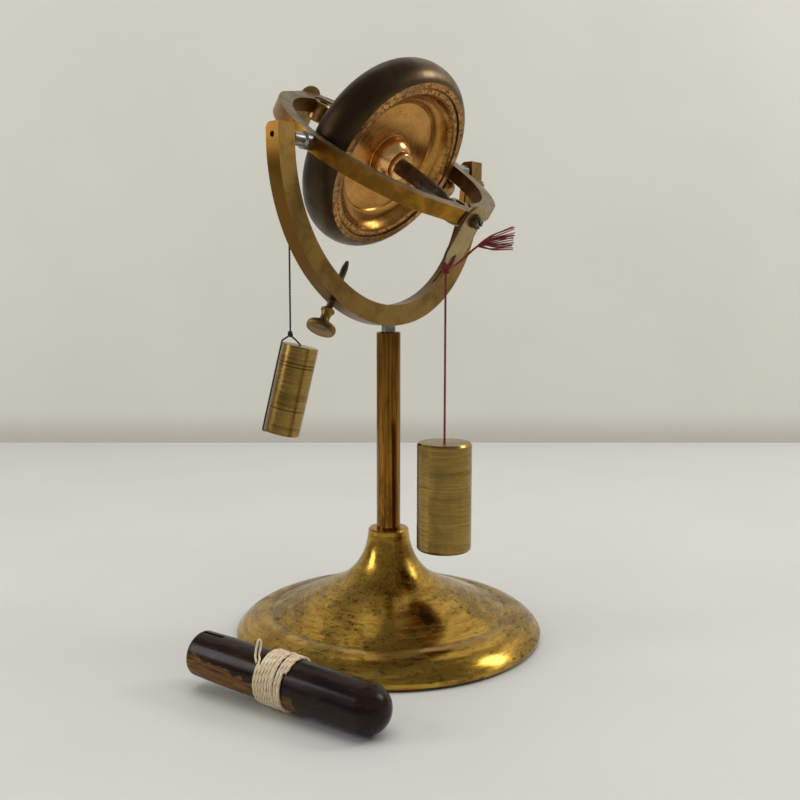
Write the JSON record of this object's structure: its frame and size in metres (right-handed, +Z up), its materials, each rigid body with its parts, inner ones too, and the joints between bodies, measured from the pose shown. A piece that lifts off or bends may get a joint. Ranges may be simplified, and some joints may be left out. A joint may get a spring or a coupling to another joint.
{
  "type": "demonstration gyroscope",
  "caption": "Brass demonstration gyroscope: a heavy rotor in a tilting gimbal ring on a swivelling fork, with hanging weights on threads and a wooden starting handle",
  "frame": {"origin": "On the table, at the centre of the round foot, where the stem axis meets the resting plane", "axes": "+Z is up along the stem, +X runs along the tilt axis of the ring, +Y points to the end of the ring that carries the small weight"},
  "size_m": [0.1566, 0.1233, 0.2226],
  "materials": {
    "foot_brass": "aged polished brass with greenish stains and worn streaks",
    "stem_brass": "aged brass rod, warm brown-gold with lengthwise streaks",
    "fork_brass": "satin olive-brown brass",
    "ring_brass": "worn tan-grey brass, golden on the outer band",
    "disc_brass": "coppery gold turned metal with dark specks",
    "rim_bronze": "dark grey-brown patinated bronze",
    "bush_brass": "worn brass",
    "plate_brass": "pale olive brass sheet",
    "knob_brass": "turned brass, tarnished",
    "weight_brass": "olive-brown turned brass with fine rings",
    "bright_steel": "bright turned steel",
    "shaft_steel": "dark steel with a rust tint",
    "screw_steel": "blackened steel",
    "ebonised_wood": "ebonised wood, waxed, worn to brown at the butt",
    "twine": "beige hemp twine",
    "red_thread": "dark red waxed thread",
    "black_thread": "near-black waxed thread"
  },
  "bodies": {
    "stand": {"foot": "foot_brass", "stem": "stem_brass", "foot_washer": "foot_brass", "foot_nut": "screw_steel"},
    "fork": {"fork": "fork_brass", "fork_pivot": "bright_steel", "keeper_screw": "screw_steel"},
    "clamp_screw": {"clamp_screw_shank": "screw_steel", "clamp_screw_knob": "knob_brass"},
    "ring": {"gimbal_ring": "ring_brass", "left_trunnion": "bright_steel", "right_trunnion": "bright_steel", "trim_knob": "knob_brass", "near_bearing_bush": "bush_brass", "far_bearing_bush": "bush_brass", "near_pivot_screw": "screw_steel", "far_pivot_screw": "screw_steel", "near_hanger_plate": "plate_brass", "far_hanger_plate": "plate_brass", "red_loop": "red_thread", "red_knot": "red_thread", "red_leg": "red_thread", "red_tail": "red_thread", "red_tassel": "red_thread", "black_loop": "black_thread", "far_knot": "black_thread"},
    "rotor": {"rotor_rim": "rim_bronze", "rotor_disc": "disc_brass", "near_hub_collar": "disc_brass", "far_hub_collar": "disc_brass", "rotor_shaft": "shaft_steel"},
    "heavy_hanging_weight": {"heavy_weight": "weight_brass", "red_thread": "red_thread", "heavy_stop_knot": "red_thread"},
    "light_hanging_weight": {"light_weight": "weight_brass", "black_thread": "black_thread", "sling_knot": "black_thread", "black_sling": "black_thread"},
    "handle": {"starting_handle": "ebonised_wood", "twine_winding": "twine", "twine_tail": "twine"}
  },
  "joints": [
    {"name": "fork_swivel", "type": "hinge", "parent": "stand", "child": "fork", "pos_m": [0, 0, 0.124], "axis": [0, 0, 1], "continuous": true},
    {"name": "ring_tilt", "type": "hinge", "parent": "fork", "child": "ring", "pos_m": [-0.0015, 0, 0.189], "axis": [1, 0, 0], "range_deg": [-67, 8]},
    {"name": "rotor_spin", "type": "hinge", "parent": "ring", "child": "rotor", "pos_m": [-0.0015, 0, 0.189], "axis": [0, 0.8339, 0.5519], "continuous": true},
    {"name": "clamp_travel", "type": "slide", "parent": "fork", "child": "clamp_screw", "axis": [0.5344, 0, 0.8453], "range_m": [-0.006, 0.003]},
    {"name": "heavy_hang", "type": "hinge", "parent": "ring", "child": "heavy_hanging_weight", "pos_m": [-0.0015, -0.02774, 0.14522], "axis": [1, 0, 0], "range_deg": [-8, 67]},
    {"name": "light_hang", "type": "hinge", "parent": "ring", "child": "light_hanging_weight", "pos_m": [-0.0015, 0.05114, 0.19743], "axis": [1, 0, 0], "range_deg": [-8, 67]},
    {"name": "handle_lift", "type": "slide", "parent": "stand", "child": "handle", "axis": [0, 0, 1], "range_m": [0, 0.05]}
  ],
  "couplings": [
    {"joint": "heavy_hang", "follows": "ring_tilt", "ratio": -1},
    {"joint": "light_hang", "follows": "ring_tilt", "ratio": -1}
  ]
}
